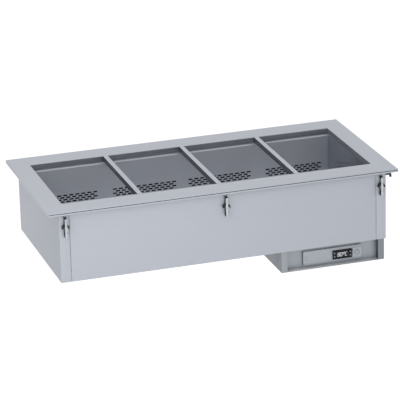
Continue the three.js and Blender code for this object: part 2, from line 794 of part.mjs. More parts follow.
// Terminal block on the floor of the control box: a bar with a rib between each pair of ways
function makeTerminalBlock() {
  const left = boxLeft + terminal.fromLeft;
  const rear = boxRear - terminal.fromRear;
  const foot = trayTop + gap;
  const high = foot + terminal.height;
  const depth = [rear - terminal.width, rear];
  const step = (terminal.length - terminalRib.width) / terminalRib.ways;
  const ribs = Array.from({ length: terminalRib.ways + 1 }, (_, i) => block(
    [left + i * step, left + i * step + terminalRib.width],
    depth,
    [high - terminalRib.width, high + terminalRib.height],
  ));
  return joinAll([block([left, left + terminal.length], depth, [foot, high]), ...ribs]);
}

// Heater relay on its finned heat sink
function makeRelay() {
  const left = boxRight - relay.fromRight;
  const rear = boxRear - relay.fromRear;
  const foot = trayTop + gap;
  const step = (relay.width - relay.fin) / (relay.fins - 1);
  const fins = Array.from({ length: relay.fins }, (_, i) => block(
    [left, left + relay.length],
    [rear - relay.width + i * step, rear - relay.width + i * step + relay.fin],
    [foot + relay.base / 2, foot + relay.height],
  ));
  return joinAll([
    block([left, left + relay.length], [rear - relay.width, rear], [foot, foot + relay.base]),
    ...fins,
  ]);
}

// Cable gland through the rear of the control box, bored right through
function makeGland() {
  const outside = sheet + gap;
  const end = outside + glandNut.height + glandDome.height;
  const profile = [
    [gland.bore, -gland.inner - gap],
    [glandNut.radius, -gland.inner - gap],
    [glandNut.radius, -gap],
    [gland.thread, -gap],
    [gland.thread, outside],
    [glandNut.radius, outside],
    [glandNut.radius, outside + glandNut.height],
    [glandDome.radius, outside + glandNut.height],
    [glandDome.radius, end - glandDome.crown],
    [gland.bore + sheet, end],
    [gland.bore, end],
    [gland.bore, -gland.inner - gap],
  ];
  const geometry = new THREE.LatheGeometry(profile.map(([r, h]) => new THREE.Vector2(r, h)), gland.sides);
  return toSolid(geometry.translate(boxLeft + gland.fromLeft, boxRear - sheet, glandZ));
}

// Clamp bracket: back plate and a deep channel, slotted along both sides for the claw's arms.
// The clamp's own frame has its origin on the casing, and points out of the casing along -Y.
function makeClampBracket(travel) {
  const half = channel.width / 2;
  const high = below(clamp.top);
  const low = below(clamp.bottom);
  const bearing = below(clamp.bearing);
  const backPlate = block([-clamp.plateHalf, clamp.plateHalf], [-sheet - gap, -gap], [low, high]);
  const side = outline([
    [-gap, low],
    [-gap, high],
    [-channel.out, below(channel.webTop)],
    [-channel.out, low],
  ]);
  const inside = [[-half + channel.wall, half - channel.wall], [-channel.out + channel.wall, -gap - sheet]];
  const bore = block(...inside, [low + 2 * channel.wall, bearing - 2 * channel.wall]);
  const mouth = block(...inside, [bearing, high + cutOver]);
  const armLow = below(travel.depth + travel.down) - clawNut.armHeight - gap;
  const armHigh = below(travel.depth - travel.up) + clawNut.armHeight + gap;
  const armSlot = block(
    [-half - cutOver, half + cutOver],
    [-clamp.screwOut - clawNut.arm - gap, -clamp.screwOut + clawNut.arm + gap],
    [armLow, armHigh],
  );
  const screwHole = rod(screw.hole, 0, -clamp.screwOut, low - cutOver, high + cutOver, screw.sides);
  const { radius, head, depth, out, sides } = clampPin;
  const pin = rodAcross(radius, -out, below(depth), -half - head, half + head, sides);
  const body = backPlate.add(extrudeAcross(side, -half, half));
  return body.subtract(joinAll([bore, mouth, armSlot, screwHole])).add(pin);
}

// Clamp screw: shank through both ends of the channel, socket head under it and a collar inside to hold it
function makeClampScrew() {
  const y = -clamp.screwOut;
  const { radius, height, socket, socketDepth, socketSides } = screwHead;
  const headTop = below(clamp.bottom) - gap;
  const headFoot = headTop - height;
  const shankTop = below(clamp.bearing) + screw.tail;
  const collarFoot = below(clamp.bottom) + 2 * channel.wall + gap;
  const whole = joinAll([
    rod(screw.shank, 0, y, headFoot + sheet, shankTop, screw.sides),
    rod(radius, 0, y, headFoot, headTop, screw.sides),
    rod(screw.collar, 0, y, collarFoot, collarFoot + sheet, screw.sides),
  ]);
  return whole.subtract(rod(socket, 0, y, headFoot - cutOver, headFoot + socketDepth, socketSides));
}

// Clamp claw: a saddle of two drooping wings astride the channel, carried by a nut on the screw.
// Where it reaches further out, only its outer end droops.
function makeClaw(travel) {
  const z = below(travel.depth);
  const tall = claw.rise + claw.drop;
  const arch = extrudeBack(clawOutline(z), -travel.out, -claw.back);
  const half = channel.width / 2 + gap;
  const window = block([-half, half], [-channel.out - gap, cutOver], [z - tall, z + tall]);
  const level = block(
    [-claw.reach - cutOver, claw.reach + cutOver],
    [-travel.out + claw.beak, -claw.back + cutOver],
    [z - tall, z + claw.rise - claw.root],
  );
  const saddle = travel.out > channel.out ? arch.subtract(level) : arch;
  const out = clamp.screwOut;
  const across = [-out - clawNut.arm, -out + clawNut.arm];
  const nutRise = [z - clawNut.height / 2, z + clawNut.height / 2];
  const armRise = [z - clawNut.armHeight, z + clawNut.armHeight];
  const nut = block([-clawNut.half, clawNut.half], across, nutRise);
  const arms = block([-clawNut.armReach, clawNut.armReach], across, armRise);
  const bore = rod(clawNut.bore, 0, -out, z - tall, z + tall, screw.sides);
  return joinAll([saddle.subtract(window), nut, arms]).subtract(bore);
}

// Arch of the claw in X and Z: curved top, thinning towards two drooping tips
function clawOutline(z) {
  const { rise, drop, reach, tip, root } = claw;
  const upper = new THREE.QuadraticBezierCurve(
    new THREE.Vector2(0, z + rise),
    new THREE.Vector2(reach * clawShoulderShare, z + rise),
    new THREE.Vector2(reach, z - drop),
  );
  const lower = new THREE.QuadraticBezierCurve(
    new THREE.Vector2(reach - tip, z - drop),
    new THREE.Vector2(reach * clawHollowShare, z + rise - root),
    new THREE.Vector2(0, z + rise - root),
  );
  const right = [...upper.getPoints(clawCurveSteps), ...lower.getPoints(clawCurveSteps)];
  const left = right.slice(1, -1).reverse().map((p) => new THREE.Vector2(-p.x, p.y));
  return new THREE.Shape([...right, ...left]);
}

// One clamp on a casing face, turned so that it points out of that face
function makeClamp(name, x, y, turn, travel) {
  const group = new THREE.Group();
  group.position.set(x, y, 0);
  group.rotation.z = turn;
  group.add(toMesh(`${name}_bracket`, makeClampBracket(travel), 'zinc'));
  group.add(toMesh(`${name}_screw`, makeClampScrew(), 'zinc'));
  group.add(toMesh(`${name}_claw`, makeClaw(travel), 'blackPlastic'));
  return group;
}

const well = new THREE.Group();

function addPiece(name, solid, finish) {
  well.add(toMesh(name, solid, finish));
}

// Top and inside of the well
addPiece('top_flange', makeFlange(), 'satinSteel');
barPlaces().forEach((x, i) => addPiece(`crossbar_${i + 1}`, makeCrossbar(x), 'satinSteel'));
addPiece('inner_tank', makeTank(), 'shadedSteel');
addPiece('rear_air_duct', makeDuct(1, slotRows.rear), 'shadedSteel');
addPiece('front_air_duct', makeDuct(-1, slotRows.front), 'shadedSteel');
addPiece('fan_deck', makeDeck(), 'shadedSteel');
for (const [name, side] of [['left', -1], ['right', 1]]) {
  addPiece(`fan_frame_${name}`, makeFanFrame(side * fanX), 'blackPlastic');
  addPiece(`fan_rotor_${name}`, makeRotor(side * fanX), 'blackPlastic');
  addPiece(`heating_element_${name}`, makeHeater(side), 'sheath');
}
addPiece('temperature_probe', makeProbe(), 'zinc');

// Casing and insulation
addPiece('insulation_jacket', makeJacket(), 'wool');
addPiece('insulation_base', makeBaseWool(), 'wool');
addPiece('front_panel', makeSidePanel(-1), 'satinSteel');
addPiece('rear_panel', makeSidePanel(1), 'satinSteel');
addPiece('left_end_panel', makeEndPanel(-1), 'satinSteel');
addPiece('right_end_panel', makeEndPanel(1), 'satinSteel');
addPiece('bottom_panel', makeBottomPanel(), 'satinSteel');

// Control box
addPiece('control_box_shell', makeBoxShell(), 'controlSteel');
addPiece('left_post', makePost(boxLeft), 'controlSteel');
addPiece('right_post', makePost(boxRight - post.width), 'controlSteel');
addPiece('control_fascia', makeFascia(), 'controlSteel');
addPiece('control_plate', makeControlPlate(), 'controlSteel');
addPiece('controller_housing', makeController(), 'blackPlastic');
addPiece('controller_window', makeWindow(), 'glossBlack');
keyPlaces().forEach((place, i) => addPiece(`controller_key_${i + 1}`, makeKey(place), 'greyKey'));
addPiece('switch_housing', makeSwitchHousing(), 'zinc');
addPiece('power_button', makePowerButton(), 'zinc');
addPiece('terminal_block', makeTerminalBlock(), 'greyKey');
addPiece('heater_relay', makeRelay(), 'zinc');
addPiece('cable_gland', makeGland(), 'blackPlastic');

// Worktop clamps: three along the front, three along the rear, one on the right end near the front
for (const [name, x] of [['left', -clampX], ['middle', 0], ['right', clampX]]) {
  well.add(makeClamp(`front_clamp_${name}`, x, -caseY, 0, clawTravel));
  well.add(makeClamp(`rear_clamp_${name}`, x, caseY, Math.PI, clawTravel));
}
well.add(makeClamp('end_clamp', caseX, -caseY + endClampFromFront, Math.PI / 2, endClawTravel));

export default well;
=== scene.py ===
import json
import math

import bmesh
import bpy
from mathutils import Matrix, Vector

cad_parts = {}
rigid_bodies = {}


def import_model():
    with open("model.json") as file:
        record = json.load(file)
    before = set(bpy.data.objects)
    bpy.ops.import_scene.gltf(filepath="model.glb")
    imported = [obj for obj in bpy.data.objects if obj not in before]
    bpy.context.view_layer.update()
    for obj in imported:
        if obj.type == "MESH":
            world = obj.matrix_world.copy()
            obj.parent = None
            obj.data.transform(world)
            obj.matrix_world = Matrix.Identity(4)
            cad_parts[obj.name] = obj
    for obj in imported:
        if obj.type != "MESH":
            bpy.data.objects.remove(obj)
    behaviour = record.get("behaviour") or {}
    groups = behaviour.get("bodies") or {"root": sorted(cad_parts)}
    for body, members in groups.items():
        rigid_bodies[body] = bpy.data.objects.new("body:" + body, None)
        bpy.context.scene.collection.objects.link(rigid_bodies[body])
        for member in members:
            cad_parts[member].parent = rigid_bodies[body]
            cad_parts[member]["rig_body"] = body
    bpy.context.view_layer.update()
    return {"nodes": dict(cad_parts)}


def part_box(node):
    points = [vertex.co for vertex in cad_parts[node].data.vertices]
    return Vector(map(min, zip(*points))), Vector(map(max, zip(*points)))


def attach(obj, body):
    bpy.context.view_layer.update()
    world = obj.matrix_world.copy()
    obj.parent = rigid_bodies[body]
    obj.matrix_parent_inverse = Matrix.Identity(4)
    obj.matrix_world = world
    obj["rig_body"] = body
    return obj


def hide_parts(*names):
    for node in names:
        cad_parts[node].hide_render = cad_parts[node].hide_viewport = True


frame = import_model()
nodes = frame["nodes"]
print("loaded", len(nodes), "nodes")

mm = 0.001
flangeTop = 13.5 * mm
upward = Vector((0, 0, 1))
clampNames = ["front_clamp_left", "front_clamp_middle", "front_clamp_right",
              "rear_clamp_left", "rear_clamp_middle", "rear_clamp_right", "end_clamp"]
keyNames = ["controller_key_1", "controller_key_2", "controller_key_3", "controller_key_4"]
bodyOf = {name: node["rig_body"] for name, node in nodes.items()}


def addObject(name, data):
    item = bpy.data.objects.new(name, data)
    bpy.context.scene.collection.objects.link(item)
    return item


# Colour, as written on a swatch, to the linear values that a shader takes
def linear(hexColour):
    channels = [int(hexColour[i:i + 2], 16) / 255 for i in (0, 2, 4)]
    light = [c / 12.92 if c <= 0.04045 else ((c + 0.055) / 1.055) ** 2.4 for c in channels]
    return (*light, 1)


def grey(value):
    return (value, value, value, 1)


def addNode(tree, kind, settings=None, inputs=None):
    node = tree.nodes.new(kind)
    for name, value in (settings or {}).items():
        setattr(node, name, value)
    for socket, value in (inputs or {}).items():
        if isinstance(value, bpy.types.NodeSocket):
            tree.links.new(value, node.inputs[socket])
        else:
            node.inputs[socket].default_value = value
    return node


def addMath(tree, operation, *values):
    node = addNode(tree, "ShaderNodeMath", {"operation": operation}, dict(enumerate(values)))
    return node.outputs[0]


def startMaterial(name, shaderInputs):
    material = bpy.data.materials.new(name)
    material.use_nodes = True
    tree = material.node_tree
    shader = tree.nodes["Principled BSDF"]
    for socket, value in shaderInputs.items():
        shader.inputs[socket].default_value = value
    return material, tree, shader


# The piece's own coordinates, so that every scale below is per metre
def ownMetres(tree):
    return addNode(tree, "ShaderNodeTexCoord").outputs["Object"]


def addNoise(tree, place, scale, detail=2.0, roughness=0.5, distortion=0.0):
    return addNode(tree, "ShaderNodeTexNoise", {}, {
        "Vector": place, "Scale": scale, "Detail": detail, "Roughness": roughness,
        "Distortion": distortion}).outputs["Fac"]


# The base colour follows a pattern, through (pattern value, colour) stops
def addTint(tree, shader, pattern, stops):
    tint = addNode(tree, "ShaderNodeValToRGB", {}, {"Fac": pattern})
    elements = tint.color_ramp.elements
    while len(elements) < len(stops):
        elements.new(0.5)
    for element, (place, colour) in zip(elements, stops):
        element.position = place
        element.color = colour
    tree.links.new(tint.outputs["Color"], shader.inputs["Base Color"])
    return tint


# The roughness follows a pattern, a little to either side of its mean
def addRough(tree, shader, pattern, roughness, spread, low=0.0, high=1.0):
    rough = addNode(tree, "ShaderNodeMapRange", {}, {
        "Value": pattern, "From Min": low, "From Max": high,
        "To Min": roughness - spread, "To Max": roughness + spread})
    tree.links.new(rough.outputs["Result"], shader.inputs["Roughness"])


def addBump(tree, shader, pattern, strength, distance):
    bump = addNode(tree, "ShaderNodeBump", {}, {
        "Strength": strength, "Distance": distance, "Height": pattern})
    tree.links.new(bump.outputs["Normal"], shader.inputs["Normal"])


# Stainless sheet, satin-ground with a belt: long fine lines one way, softly blurred reflections.
# The real lines are about 0.2 mm apart, too fine to show here, so they are drawn 3 mm apart.
# It is less than fully metallic, as a dusty, ground surface scatters some light evenly.
def satinSheet(name, light, dark, grain, roughness, metal):
    material, tree, shader = startMaterial(name, {"Metallic": metal})
    place = ownMetres(tree)
    along, across = 1.6, 330.0  # per metre: one line runs 0.6 m, lines lie 3 mm apart
    scale = {"x": (along, across, across), "y": (across, along, across),
             "z": (across, across, along)}[grain]
    lines = addNode(tree, "ShaderNodeMapping", {}, {"Vector": place, "Scale": scale})
    streaks = addNoise(tree, lines.outputs["Vector"], 1.0, detail=4.0, roughness=0.6)
    clouds = addNoise(tree, place, 2.4)
    streakShare, cloudShare = 0.6, 0.4
    mixed = addMath(tree, "MULTIPLY_ADD", streaks, streakShare,
                    addMath(tree, "MULTIPLY", clouds, cloudShare))
    low, high = 0.3, 0.7  # nearly all of the mixed pattern lies between these
    addTint(tree, shader, mixed, [(low, linear(dark)), (high, linear(light))])
    addRough(tree, shader, mixed, roughness, 0.05, low, high)
    addBump(tree, shader, streaks, 0.03, 0.3 * mm)
    return material


# Zinc-plated steel, bright blue passivated: hard small glints, faintly cloudy
def brightZinc(name, light, dark, roughness):
    material, tree, shader = startMaterial(name, {"Metallic": 1.0})
    clouds = addNoise(tree, ownMetres(tree), 120.0, detail=3.0, roughness=0.6)
    addTint(tree, shader, clouds, [(0.35, linear(dark)), (0.65, linear(light))])
    addRough(tree, shader, clouds, roughness, 0.06)
    return material


# Pressed steel in black powder coat: fine orange peel, soft sheen
def blackPowderCoat(name):
    material, tree, shader = startMaterial(name, {"Roughness": 0.42, "IOR": 1.5})
    peel = addNoise(tree, ownMetres(tree), 700.0)
    addTint(tree, shader, peel, [(0.3, linear("0b0c0e")), (0.75, linear("17191c"))])
    addBump(tree, shader, peel, 0.15, 0.3 * mm)
    return material


# Moulded plastic with a spark-eroded grain: even colour, slightly broken highlights
def mouldedPlastic(name, light, dark, roughness, grainScale, gloss=0.5):
    material, tree, shader = startMaterial(name, {"IOR": 1.49, "Specular IOR Level": gloss})
    place = ownMetres(tree)
    grain = addNode(tree, "ShaderNodeTexVoronoi", {"feature": "SMOOTH_F1"}, {
        "Vector": place, "Scale": grainScale})
    clouds = addNoise(tree, place, 40.0)
    addTint(tree, shader, clouds, [(0.3, linear(dark)), (0.7, linear(light))])
    addRough(tree, shader, clouds, roughness, 0.05)
    addBump(tree, shader, grain.outputs["Distance"], 0.2, 0.2 * mm)
    return material


# Smoked polycarbonate window, polished and coated against glare: almost black
def smokedWindow(name):
    material, tree, shader = startMaterial(name, {
        "Roughness": 0.08, "IOR": 1.58, "Specular IOR Level": 0.3})
    haze = addNoise(tree, ownMetres(tree), 90.0)
    addTint(tree, shader, haze, [(0.3, linear("07080b")), (0.7, linear("0d0f14"))])
    return material


# Lit display segments: white light through a faintly mottled diffuser
def litSegments(name, colour, strength):
    material, tree, shader = startMaterial(name, {"Roughness": 0.5, "Emission Strength": strength})
    mottle = addNoise(tree, ownMetres(tree), 300.0)
    tint = addTint(tree, shader, mottle, [(0.2, linear(colour)), (0.8, grey(0.95))])
    tree.links.new(tint.outputs["Color"], shader.inputs["Emission Color"])
    return material


# Stone wool, or the glass tissue that faces it: matted fibres, dull and uneven
def stoneWool(name, light, dark):
    material, tree, shader = startMaterial(name, {"Roughness": 0.95, "IOR": 1.45})
    fibres = addNoise(tree, ownMetres(tree), 160.0, detail=8.0, roughness=0.75, distortion=2.0)
    addTint(tree, shader, fibres, [(0.3, linear(dark)), (0.7, linear(light))])
    addBump(tree, shader, fibres, 0.8, 3.0 * mm)
    return material


# Nickel-alloy heater sheath, oxidised by heat: straw and blue-grey bands along the tube
def heatedSheath(name):
    material, tree, shader = startMaterial(name, {"Metallic": 1.0, "Roughness": 0.45})
    bands = addNoise(tree, ownMetres(tree), 14.0, detail=3.0)
    addTint(tree, shader, bands, [
        (0.3, linear("5b5248")), (0.5, linear("7a7268")), (0.7, linear("5d646e"))])
    return material


# A sheet's light and dark tint, the way its grain runs, its roughness and its share of metal.
# Plastics have tints, a roughness and a grain per metre, and zinc has tints and a roughness.
finishes = {
    "satin_steel": satinSheet("satinStainlessSheet", "babec6", "b3b7c0", "x", 0.45, 0.5),
    # Darker copy of the sheet for the end panels' side faces: painted shade
    "end_painted_shade": satinSheet("satinStainlessEndSheetPaintedShade", "a7abb3", "a1a5ae", "y", 0.45, 0.7),
    # Darker copy of the sheet for the flanks of the bars and a post: painted shade
    "flank_painted_shade": satinSheet("satinStainlessFlankPaintedShade", "616469", "5a5d62", "z", 0.4, 0.75),
    # Darker copy for the opening's inner lip: painted shade
    "lip_painted_shade": satinSheet("satinStainlessLipPaintedShade", "8a8d94", "83868d", "x", 0.4, 0.75),
    "duct_steel": satinSheet("satinStainlessDuct", "c5c8ce", "bcbfc6", "x", 0.34, 0.7),
    # Lighter copy for the bend at a duct's top: painted highlight
    "duct_shoulder_painted_light": satinSheet("satinStainlessDuctShoulderPaintedLight", "c8cbd1", "c0c3c9", "x", 0.45, 0.5),
    "tank_steel": satinSheet("polishedStainlessTank", "a9adb5", "a1a5ad", "y", 0.2, 0.85),
    "control_steel": satinSheet("satinStainlessControlBox", "9fa4ab", "989da4", "x", 0.45, 0.7),
    # Copies of the box's steel: the lighter plate and top faces are painted light, the darker
    # sides and right post painted shade
    "control_plate_painted_light": satinSheet("satinStainlessControlPlatePaintedLight", "a8adb4", "a1a6ad", "x", 0.45, 0.7),
    "control_side_painted_shade": satinSheet("satinStainlessControlSidePaintedShade", "7e8289", "777b82", "z", 0.45, 0.7),
    "control_post_painted_shade": satinSheet("satinStainlessControlPostPaintedShade", "8a8e95", "83878e", "z", 0.45, 0.7),
    "control_top_painted_light": satinSheet("stainlessLedgePaintedLight", "c6c9ce", "bec1c6", "x", 0.5, 0.2),
    # Dark line in the flange's outer lip: painted shade
    "lip_line_painted_shade": satinSheet("stainlessLipLinePaintedShade", "4e5157", "42454a", "x", 0.5, 0.75),
    # Near-black slot cut edges: painted shade
    "slot_edge_painted_shade": mouldedPlastic("cutEdgePaintedShade", "17181a", "101113", 0.7, 1400.0),
    "zinc_steel": brightZinc("brightZincPlate", "c6cad0", "adb2b9", 0.32),
    "button_steel": brightZinc("satinButtonSteel", "9a9ea5", "8e9299", 0.36),
    "black_steel": blackPowderCoat("blackPowderCoat"),
    "heater_sheath": heatedSheath("oxidisedHeaterSheath"),
    "black_plastic": mouldedPlastic("mouldedBlackNylon", "1b1d21", "121417", 0.5, 1400.0),
    "controller_plastic": mouldedPlastic(
        "mouldedBlackController", "111214", "0b0c0d", 0.4, 1400.0, gloss=0.2),
    "grey_plastic": mouldedPlastic("mouldedGreyRubber", "6d7278", "5b6066", 0.6, 1600.0),
    "key_rubber": mouldedPlastic("mouldedPaleKeys", "7f848b", "72777d", 0.6, 1600.0),
    "switch_plastic": mouldedPlastic("mouldedPaleSwitch", "b2b7bd", "a3a8ae", 0.35, 1500.0),
    # Near-black backing behind the duct slots: painted shade
    "slot_backing_painted_shade": mouldedPlastic("blackSlotBackingPaintedShade", "101113", "0a0b0c", 0.85, 300.0),
    "display_glass": smokedWindow("smokedPolycarbonate"),
    "lit": litSegments("litSegments", "b9c6dc", 0.3),
    "mineral_wool": stoneWool("stoneWool", "cfc59a", "8c8055"),
    # Black backing behind the casing seams: painted shade
    "seam_painted_shade": stoneWool("blackSeamPaintedShade", "2b2d30", "1c1e20"),
}
print("made", len(finishes), "finishes")

cleanUp = {"joinWithin": 0.01 * mm, "flatWithin": math.radians(0.5)}
roundings = {"sheet": 0.5 * mm, "small": 0.35 * mm, "segments": 2, "sharpAbove": math.radians(30)}


def openMesh(mesh):
    work = bmesh.new()
    work.from_mesh(mesh)
    bmesh.ops.remove_doubles(work, verts=work.verts, dist=cleanUp["joinWithin"])
    return work


def roundEdges(piece, width):
    bevel = piece.modifiers.new("Edges", "BEVEL")
    bevel.width = width
    bevel.segments = roundings["segments"]
    bevel.limit_method = "ANGLE"
    bevel.angle_limit = roundings["sharpAbove"]
    bevel.use_clamp_overlap = True
    bevel.harden_normals = True


# A copy of a node, its triangles merged and, where a width is given, its sharp edges rounded.
# Where one finish isn't enough, pickFinish names the finish of each face.
def finishNode(name, finish, width=0, pickFinish=None, reshape=None):
    mesh = nodes[name].data.copy()
    mesh.name = name + "_finished"
    mesh.materials.clear()  # before the faces are given their finishes, as it resets them
    work = openMesh(mesh)
    bmesh.ops.dissolve_limit(
        work, angle_limit=cleanUp["flatWithin"], verts=work.verts, edges=work.edges)
    if reshape:
        reshape(work)
    work.normal_update()
    names = [finish]
    for face in work.faces if pickFinish else []:
        picked = pickFinish(name, face.calc_center_median(), face.normal)
        if picked not in names:
            names.append(picked)
        face.material_index = names.index(picked)
    work.to_mesh(mesh)
    work.free()
    for picked in names:
        mesh.materials.append(finishes[picked])
    piece = addObject(name + "_finished", mesh)
    if width:
        mesh.shade_smooth()
        roundEdges(piece, width)
    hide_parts(name)
    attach(piece, bodyOf[name])


# A node kept as it is, with its finish
def paintNode(name, finish):
    mesh = nodes[name].data
    mesh.materials.clear()
    mesh.materials.append(finishes[finish])


# How much of a face's normal lies along a direction, when it looks straight along it, roughly
# along it, or elsewhere
share = {"straight": 0.9, "along": 0.7, "elsewhere": 0.5}

# The clamp channel: bright web, black sides and cross pin, and a back plate like the casing
clampOut = {"front": Vector((0, -1, 0)), "rear": Vector((0, 1, 0)), "end": Vector((1, 0, 0))}
clampFaces = {"plateDepth": 2.0 * mm, "webOut": 20.0 * mm, "channelHalf": 4.6 * mm}


# The way a clamp's node looks, and the way across it
def clampWays(node):
    out = clampOut[node.split("_")[0]]
    return out, out.cross(upward)


def pickClampFinish(node, centre, normal):
    low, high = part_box(node)
    out, across = clampWays(node)
    outward = out.dot(centre) - min(out.dot(low), out.dot(high))
    if outward < clampFaces["plateDepth"]:
        return "satin_steel"
    if abs(across.dot(centre - (low + high) / 2)) > clampFaces["channelHalf"]:
        return "black_steel"
    if outward > clampFaces["webOut"] and normal.dot(out) > share["along"]:
        return "zinc_steel"
    return "black_steel"


# The line pressed into the flange's outer lip, front and rear, is painted dark, a painted shade
# line along the lip. The inner lip round the opening is painted darker, painted shade for a lip
# that stands in shade
lipLine = {"top": 9.1 * mm, "foot": 6.4 * mm, "outerX": 700 * mm, "outerY": 350 * mm}


def pickFlangeFinish(node, centre, normal):
    if abs(centre.y) > lipLine["outerY"] and lipLine["foot"] < centre.z < lipLine["top"]:
        return "lip_line_painted_shade"
    inner = abs(centre.x) < lipLine["outerX"] and abs(centre.y) < lipLine["outerY"]
    return "lip_painted_shade" if inner and abs(normal.z) < share["along"] else "satin_steel"


# The air slots: four rows in the upright sheet of a duct
slots = {"face": 254.9 * mm, "back": 256.6 * mm, "topRow": -139.0 * mm, "rowPitch": 9.3 * mm,
         "rows": 4, "halfHeight": 2.25 * mm, "drawnHalf": 3.1 * mm, "slack": 0.2 * mm}


def inDuctSheet(point):
    return slots["face"] < abs(point.y) < slots["back"]


# How far a height lies from the middle of the nearest row
def fromSlotRow(z):
    row = round((slots["topRow"] - z) / slots["rowPitch"])
    row = min(max(row, 0), slots["rows"] - 1)
    return z - (slots["topRow"] - row * slots["rowPitch"])


# The bend at a duct's top is painted lighter, a painted highlight, and the slots' cut edges are
# painted near black, painted shade that darkens the slots
def pickDuctFinish(node, centre, normal):
    if normal.z > share["elsewhere"] and abs(normal.y) > share["elsewhere"]:
        return "duct_shoulder_painted_light"
    cut = inDuctSheet(centre) and abs(normal.y) < share["elsewhere"]
    inRow = abs(fromSlotRow(centre.z)) < slots["drawnHalf"] + slots["slack"]
    return "slot_edge_painted_shade" if cut and inRow else "duct_steel"


# A flat face with holes, filled anew between its rims
def refillFlat(work, faces, normal):
    flat = set(faces)
    rim = [edge for edge in work.edges if sum(face in flat for face in edge.link_faces) == 1]
    bmesh.ops.delete(work, geom=faces, context="FACES_ONLY")
    inside = [edge for edge in work.edges if not edge.link_faces]
    bmesh.ops.delete(work, geom=inside, context="EDGES")
    filled = bmesh.ops.triangle_fill(
        work, edges=rim, use_beauty=True, use_dissolve=False, normal=normal)
    for face in filled["geom"]:
        if isinstance(face, bmesh.types.BMFace):
            face.normal_update()
            if face.normal.dot(normal) < 0:
                face.normal_flip()


# The photographed slots look a little taller than the solid's, so their long edges are set apart
# here, and the sheet's two flat faces are filled again round them
def openSlots(work):
    work.normal_update()
    sheet = {vertex for vertex in work.verts if inDuctSheet(vertex.co)}
    flat = [face for face in work.faces
            if sheet.issuperset(face.verts) and abs(face.normal.y) > share["straight"]]
    sides = [(Vector((0, way, 0)), [face for face in flat if face.normal.y * way > 0])
             for way in (1, -1)]
    for vertex in sheet:
        offset = fromSlotRow(vertex.co.z)
        if abs(abs(offset) - slots["halfHeight"]) < slots["slack"]:
            vertex.co.z += math.copysign(slots["drawnHalf"] - slots["halfHeight"], offset)
    for normal, faces in sides:
        refillFlat(work, faces, normal)


# Behind the ducts the tank's wall is painted near black, painted shade that the air slots show as
# dark holes
slotShadeBacking = {"depth": 2.0 * mm, "aboveFoot": 3.0 * mm}


def pickTankFinish(node, centre, normal):
    low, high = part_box(node)
    depth = min(centre.y - low.y, high.y - centre.y)
    onWall = abs(normal.y) > share["straight"] and depth < slotShadeBacking["depth"]
    return "slot_backing_painted_shade" if onWall and centre.z > low.z + slotShadeBacking["aboveFoot"] else "tank_steel"


# The wool jacket's outside is painted black, painted shade that the panel seams show as dark lines
seamShadeDepth = 1.0 * mm


def pickJacketFinish(node, centre, normal):
    low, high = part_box(node)
    depth = min(centre.x - low.x, high.x - centre.x, centre.y - low.y, high.y - centre.y)
    outside = depth < seamShadeDepth and abs(normal.z) < share["elsewhere"]
    return "seam_painted_shade" if outside else "mineral_wool"


# Faces that look one way, such as the flanks of a bar, in a finish of their own: a lighter or
# darker copy of the same sheet, painted light or painted shade for the way light falls on that
# side.
# "side" and "front" stand for the opposite faces too, "top" for the upper face alone.
facesBy = {"side": Vector((1, 0, 0)), "front": Vector((0, 1, 0)), "top": upward}


def byDirection(finish, rules):
    def pick(node, centre, normal):
        for direction, other in rules.items():
            along = normal.dot(facesBy[direction])
            if along > share["along"] or (direction != "top" and along < -share["along"]):
                return other
        return finish
    return pick


finishPlan = {
    "front_panel": ("satin_steel", "sheet"),
    "rear_panel": ("satin_steel", "sheet"),
    "terminal_block": ("grey_plastic", "small"),
    "heater_relay": ("zinc_steel", "small"),
    "temperature_probe": ("zinc_steel", "small"),
    "controller_window": ("display_glass", "small"),
}
# Each rule below swaps in a lighter or darker copy of the sheet for faces that look its way:
# painted light or painted shade
sidedPlan = {
    "crossbar_1": ("satin_steel", "sheet", {"side": "flank_painted_shade"}),
    "crossbar_2": ("satin_steel", "sheet", {"side": "flank_painted_shade"}),
    "crossbar_3": ("satin_steel", "sheet", {"side": "flank_painted_shade"}),
    "left_end_panel": ("satin_steel", "sheet", {"side": "end_painted_shade"}),
    "right_end_panel": ("satin_steel", "sheet", {"side": "end_painted_shade"}),
    "control_box_shell": (
        "control_steel", "sheet", {"side": "control_side_painted_shade", "top": "control_top_painted_light"}),
    "control_plate": (
        "control_plate_painted_light", "small", {"side": "control_side_painted_shade", "top": "control_top_painted_light"}),
    "left_post": ("control_steel", "sheet", {"side": "control_side_painted_shade"}),
    "right_post": ("control_post_painted_shade", "sheet", {"side": "flank_painted_shade"}),
    # The bright zinc rim is a painted highlight round the button, against its darker front
    "power_button": ("zinc_steel", "small", {"front": "button_steel"}),
}
pickedPlan = {
    "insulation_jacket": ("mineral_wool", pickJacketFinish),
    "top_flange": ("satin_steel", pickFlangeFinish),
    "inner_tank": ("tank_steel", pickTankFinish),
}
paintPlan = {
    "fan_deck": "duct_steel",
    "bottom_panel": "satin_steel", "control_fascia": "control_steel",
    "controller_housing": "controller_plastic", "switch_housing": "switch_plastic",
    "fan_frame_left": "black_plastic", "fan_frame_right": "black_plastic",
    "fan_rotor_left": "black_plastic", "fan_rotor_right": "black_plastic",
    "heating_element_left": "heater_sheath", "heating_element_right": "heater_sheath",
    "insulation_base": "mineral_wool", "cable_gland": "black_plastic",
}
for name in keyNames:
    finishPlan[name] = ("key_rubber", "small")
for name in clampNames:
    finishPlan[name + "_claw"] = ("black_steel", "small")
for name, (finish, rounding) in finishPlan.items():
    finishNode(name, finish, roundings[rounding])
for name, (finish, rounding, rules) in sidedPlan.items():
    finishNode(name, finish, roundings[rounding], byDirection(finish, rules))
for name in clampNames:
    finishNode(name + "_bracket", "black_steel", roundings["small"], pickClampFinish)
for name, (finish, pickFinish) in pickedPlan.items():
    finishNode(name, finish, roundings["sheet"], pickFinish)
